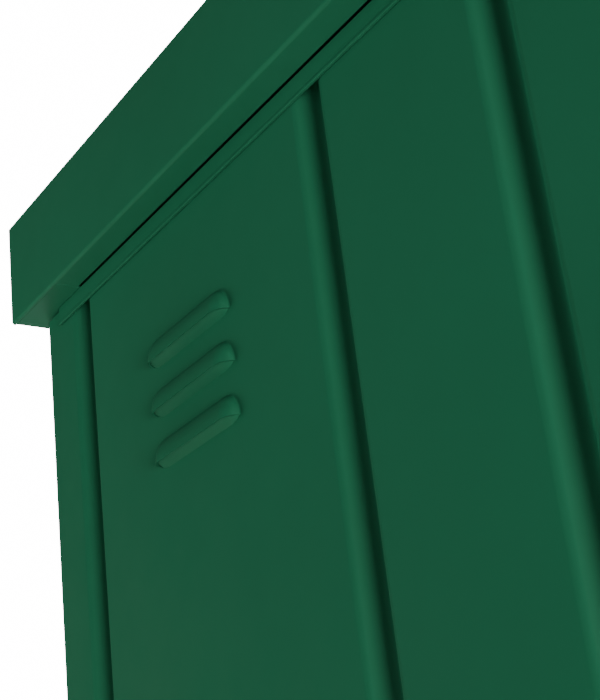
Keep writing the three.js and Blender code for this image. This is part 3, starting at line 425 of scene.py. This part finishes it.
class Material:
    """A node material with its Principled shader and small helpers for linking textures into it."""

    def __init__(self, name, colour, roughness, metallic=0.0, specular=0.5):
        self.material = bpy.data.materials.new(name)
        self.material.use_nodes = True
        self.tree = self.material.node_tree
        self.shader = self.tree.nodes["Principled BSDF"]
        self.shader.inputs["Base Color"].default_value = (*colour, 1)
        self.shader.inputs["Roughness"].default_value = roughness
        self.shader.inputs["Metallic"].default_value = metallic
        self.shader.inputs["Specular IOR Level"].default_value = specular
        self.place = self.tree.nodes.new("ShaderNodeTexCoord").outputs["Object"]

    def node(self, kind, **inputs):
        made = self.tree.nodes.new(kind)
        for key, value in inputs.items():
            socket = made.inputs[key.replace("_", " ")]
            if isinstance(value, bpy.types.NodeSocket):
                self.tree.links.new(value, socket)
            else:
                socket.default_value = value
        return made

    def noise(self, scale, detail=3.0, rough=0.5, stretch=(1, 1, 1)):
        place = self.place
        if stretch != (1, 1, 1):
            place = self.node("ShaderNodeMapping", Vector=place, Scale=stretch).outputs[0]
        return self.node("ShaderNodeTexNoise", Vector=place, Scale=scale, Detail=detail,
                         Roughness=rough).outputs["Fac"]

    def ramp(self, value, low, high, start=0.0, end=1.0):
        made = self.tree.nodes.new("ShaderNodeMapRange")
        self.tree.links.new(value, made.inputs["Value"])
        made.inputs["From Min"].default_value = start
        made.inputs["From Max"].default_value = end
        made.inputs["To Min"].default_value = low
        made.inputs["To Max"].default_value = high
        return made.outputs["Result"]

    def times(self, first, second):
        made = self.tree.nodes.new("ShaderNodeMath")
        made.operation = "MULTIPLY"
        self.tree.links.new(first, made.inputs[0])
        self.tree.links.new(second, made.inputs[1])
        return made.outputs[0]

    def worn_edge(self, most, scale=45.0):
        """How worn each edge is: sharp convex edges only, broken up by noise."""
        convex = self.tree.nodes.new("ShaderNodeNewGeometry").outputs["Pointiness"]
        edge = self.ramp(convex, 0.0, most, 0.55, 0.66)
        return self.times(edge, self.ramp(self.noise(scale, detail=4), 0.0, 1.0, 0.42, 0.62))

    def mix(self, factor, first, second):
        made = self.tree.nodes.new("ShaderNodeMix")
        made.data_type = "RGBA"
        for socket, value in ((made.inputs[0], factor), (made.inputs[6], first), (made.inputs[7], second)):
            if isinstance(value, bpy.types.NodeSocket):
                self.tree.links.new(value, socket)
            elif isinstance(value, (tuple, list)):
                socket.default_value = (*value, 1)
            else:
                socket.default_value = value
        return made.outputs[2]

    def bump(self, height, strength, distance, below=None):
        made = self.node("ShaderNodeBump", Strength=strength, Distance=distance, Height=height)
        if below:
            self.tree.links.new(below, made.inputs["Normal"])
        return made.outputs["Normal"]

    def finish(self, colour=None, roughness=None, normal=None):
        for value, socket in ((colour, "Base Color"), (roughness, "Roughness"), (normal, "Normal")):
            if value:
                self.tree.links.new(value, self.shader.inputs[socket])
        return self.material


def green_powder_coat():
    """Satin green powder coat: fine orange peel, faint clouding, dust that gathers low down."""
    paint = Material("green powder coat", PAINT, 0.5, specular=0.1)
    cloud = paint.noise(3.1, detail=4, rough=0.55)
    fleck = paint.noise(900, detail=1)
    toned = paint.mix(paint.ramp(cloud, 0.0, 1.0, 0.3, 0.7), PAINT_DEEP, PAINT_LIGHT)
    height = paint.node("ShaderNodeSeparateXYZ", Vector=paint.place).outputs["Z"]
    streaks = paint.noise(26, detail=4, stretch=(1, 1, 0.08))
    splash = paint.ramp(height, 1.0, 0.0, 0.0, 0.32)
    dusty = paint.mix(paint.times(splash, paint.ramp(streaks, 0.0, 0.5, 0.42, 0.78)), toned, DUST)
    dusty = paint.mix(paint.worn_edge(0.35), dusty, PAINT_WORN)
    peel = paint.noise(420, detail=2)
    swell = paint.noise(9, detail=1)
    normal = paint.bump(swell, 0.25, 0.6 * MM)
    normal = paint.bump(peel, 0.16, 0.06 * MM, below=normal)
    normal = paint.bump(fleck, 0.08, 0.03 * MM, below=normal)
    rough = paint.ramp(paint.noise(14, detail=3), 0.46, 0.58, 0.3, 0.7)
    return paint.finish(dusty, rough, normal)


def galvanised_steel():
    """Zinc-coated steel: flat crystal patches of differing tone under a dull skin."""
    zinc = Material("galvanised steel", (0.42, 0.44, 0.45), 0.42, metallic=0.85)
    patches = zinc.node("ShaderNodeTexVoronoi", Vector=zinc.place, Scale=90.0, Randomness=1.0)
    tone = zinc.node("ShaderNodeSeparateColor", Color=patches.outputs["Color"]).outputs[0]
    cloud = zinc.noise(7, detail=3)
    colour = zinc.mix(tone, (0.36, 0.38, 0.39), (0.56, 0.58, 0.59))
    colour = zinc.mix(zinc.ramp(cloud, 0.0, 0.35), colour, (0.44, 0.45, 0.45))
    colour = zinc.mix(zinc.worn_edge(0.5), colour, (0.66, 0.67, 0.67))
    rough = zinc.ramp(tone, 0.34, 0.52)
    normal = zinc.bump(zinc.noise(300, detail=2), 0.1, 0.05 * MM)
    return zinc.finish(colour, rough, normal)


def seal_rubber():
    rubber = Material("seal rubber", (0.012, 0.012, 0.012), 0.75, specular=0.3)
    colour = rubber.mix(rubber.noise(60, detail=3), (0.008, 0.008, 0.008), (0.022, 0.022, 0.021))
    rough = rubber.ramp(rubber.noise(25), 0.65, 0.85)
    return rubber.finish(colour, rough, rubber.bump(rubber.noise(700), 0.2, 0.08 * MM))


def handle_black():
    """Fine textured black paint on a casting."""
    black = Material("handle black", (0.012, 0.013, 0.014), 0.42, metallic=0.0)
    colour = black.mix(black.noise(40, detail=4), (0.008, 0.009, 0.010), (0.022, 0.023, 0.025))
    colour = black.mix(black.worn_edge(0.7, 120.0), colour, (0.09, 0.09, 0.088))
    rough = black.ramp(black.noise(18), 0.34, 0.5)
    return black.finish(colour, rough, black.bump(black.noise(1100, detail=2), 0.35, 0.06 * MM))


def nickel():
    plate = Material("nickel", (0.56, 0.55, 0.52), 0.24, metallic=1.0)
    colour = plate.mix(plate.noise(55, detail=4), (0.46, 0.45, 0.42), (0.63, 0.62, 0.59))
    rough = plate.ramp(plate.noise(140, detail=3), 0.16, 0.34)
    return plate.finish(colour, rough, plate.bump(plate.noise(500, stretch=(1, 1, 8)), 0.08, 0.03 * MM))


def pale_floor():
    ground = Material("pale floor", (0.72, 0.72, 0.71), 0.7)
    colour = ground.mix(ground.noise(1.3, detail=5), (0.69, 0.69, 0.68), (0.75, 0.75, 0.74))
    return ground.finish(colour, ground.ramp(ground.noise(6), 0.6, 0.8))


MATERIALS = {
    "green_powder_coat": green_powder_coat(),
    "galvanised_steel": galvanised_steel(),
    "seal_rubber": seal_rubber(),
    "handle_black": handle_black(),
    "nickel": nickel(),
}


def dress(piece, slot, body):
    """Gives a new piece its material and lets it move with its CAD body."""
    piece.data.materials.clear()
    piece.data.materials.append(MATERIALS[slot])
    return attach(piece, body)


# ---- Assembly -----------------------------------------------------------------------------------
def place_pair(right, name, node, slot, bodies):
    left = mirrored(right, f"{name}_left")
    right.name = f"{name}_right"
    for piece, side in ((right, "right"), (left, "left")):
        dress(piece, slot, bodies[side])
        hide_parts(f"{node}_{side}")


GREEN = "green_powder_coat"
SHELL = {"right": "shell", "left": "shell"}
DOORS = {"right": "right_door", "left": "left_door"}

side_rail, back_rail = rails()
place_pair(side_panel(), "side_wall", "side_panel", GREEN, SHELL)
place_pair(back_wall(), "back_wall", "back_panel", GREEN, SHELL)
place_pair(side_rail, "wall_top_rail", "top_rail", GREEN, SHELL)
place_pair(roof_tray(), "roof", "roof_tray", GREEN, SHELL)
place_pair(door_skin(), "door_skin", "door", GREEN, DOORS)

for piece, node in ((back_rail, "top_rail_back"), (seam_cap(), "roof_seam_cap"),
                    (fascia("roof_edge_front", ROOF_FRONT, 1), "fascia_front"),
                    (fascia("roof_edge_back", ROOF_BACK, -1), "fascia_back")):
    dress(piece, GREEN, "shell")
    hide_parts(node)

slot_of = {row["node"]: row["material_slot"] for row in frame["record"]["subparts"]}
for name, node in nodes.items():
    node.data.materials.clear()
    node.data.materials.append(MATERIALS[slot_of[name]])
    weld = node.modifiers.new("one skin", "WELD")
    weld.merge_threshold = WELD_GAP
    rounding = node.modifiers.new("edge rounding", "BEVEL")
    rounding.width = CAD_EDGE
    rounding.segments = 2
    rounding.limit_method = "ANGLE"
    rounding.angle_limit = math.radians(50)
    rounding.use_clamp_overlap = True


# ---- Floor, light and camera --------------------------------------------------------------------
def stage():
    bpy.ops.mesh.primitive_plane_add(size=40)
    floor = bpy.context.object
    floor.name = "floor"
    floor.data.materials.append(pale_floor())


def area_light(name, place, target, size, power, glossy=True):
    light = bpy.data.lights.new(name, "AREA")
    light.shape = "DISK"
    light.size = size
    light.energy = power
    lamp = bpy.data.objects.new(name, light)
    lamp.location = place
    lamp.rotation_euler = (Vector(target) - Vector(place)).to_track_quat("-Z", "Y").to_euler()
    lamp.visible_glossy = glossy
    lamp.visible_camera = False
    bpy.context.scene.collection.objects.link(lamp)


def overhead_sun():
    """A weak even light from above, so that the floor stays pale to its far edge."""
    sun = bpy.data.lights.new("overhead", "SUN")
    sun.energy = 0.85
    sun.angle = math.radians(20)
    lamp = bpy.data.objects.new("overhead", sun)
    lamp.rotation_euler = (math.radians(-4), math.radians(-6), 0)
    bpy.context.scene.collection.objects.link(lamp)


def studio_world():
    """A white surround to the eye, and a soft even light on the object."""
    world = bpy.data.worlds.new("studio")
    bpy.context.scene.world = world
    world.use_nodes = True
    tree = world.node_tree
    tree.nodes.clear()
    seen = tree.nodes.new("ShaderNodeBackground")
    seen.inputs["Strength"].default_value = 20.0
    cast = tree.nodes.new("ShaderNodeBackground")
    cast.inputs["Color"].default_value = (0.96, 0.98, 1.0, 1)
    cast.inputs["Strength"].default_value = 0.1
    path = tree.nodes.new("ShaderNodeLightPath")
    choose = tree.nodes.new("ShaderNodeMixShader")
    out = tree.nodes.new("ShaderNodeOutputWorld")
    tree.links.new(path.outputs["Is Camera Ray"], choose.inputs[0])
    tree.links.new(cast.outputs[0], choose.inputs[1])
    tree.links.new(seen.outputs[0], choose.inputs[2])
    tree.links.new(choose.outputs[0], out.inputs[0])


def corner_camera():
    """Looks up and along the right wall at the front corner, from close beside the wall."""
    yaw, pitch, roll = math.radians(35.2), math.radians(22.25), math.radians(6.94)
    off_wall, back, below = 475 * MM, 1053 * MM, 521 * MM
    forward = Vector((-math.sin(yaw) * math.cos(pitch), -math.cos(yaw) * math.cos(pitch), math.sin(pitch)))
    right = forward.cross(Vector((0, 0, 1))).normalized()
    up = right.cross(forward)
    tilt = Matrix.Rotation(roll, 3, forward)
    right, up = tilt @ right, tilt @ up
    turn = Matrix((right, up, -forward)).transposed().to_4x4()
    camera = bpy.data.objects.new("camera", bpy.data.cameras.new("camera"))
    camera.data.lens = 72.36
    camera.data.sensor_width = 36
    camera.matrix_world = Matrix.Translation((WALL_X + off_wall, FRONT + back, EAVES - below)) @ turn
    bpy.context.scene.collection.objects.link(camera)
    bpy.context.scene.camera = camera


stage()
studio_world()
corner_camera()
area_light("front key", (2.2, -2.6, 1.7), (0.68, 0, 1.6), 1.6, 66, glossy=False)
area_light("along the wall", (1.5, 3.2, 0.78), (0.68, 0.1, 1.7), 1.3, 150)
area_light("high back fill", (-2.8, 3.2, 3.6), (0, 0, 1), 2.6, 170, glossy=False)
area_light("front fill", (-2.2, -4.2, 2.2), (-0.2, 0, 1.0), 2.4, 260, glossy=False)
overhead_sun()
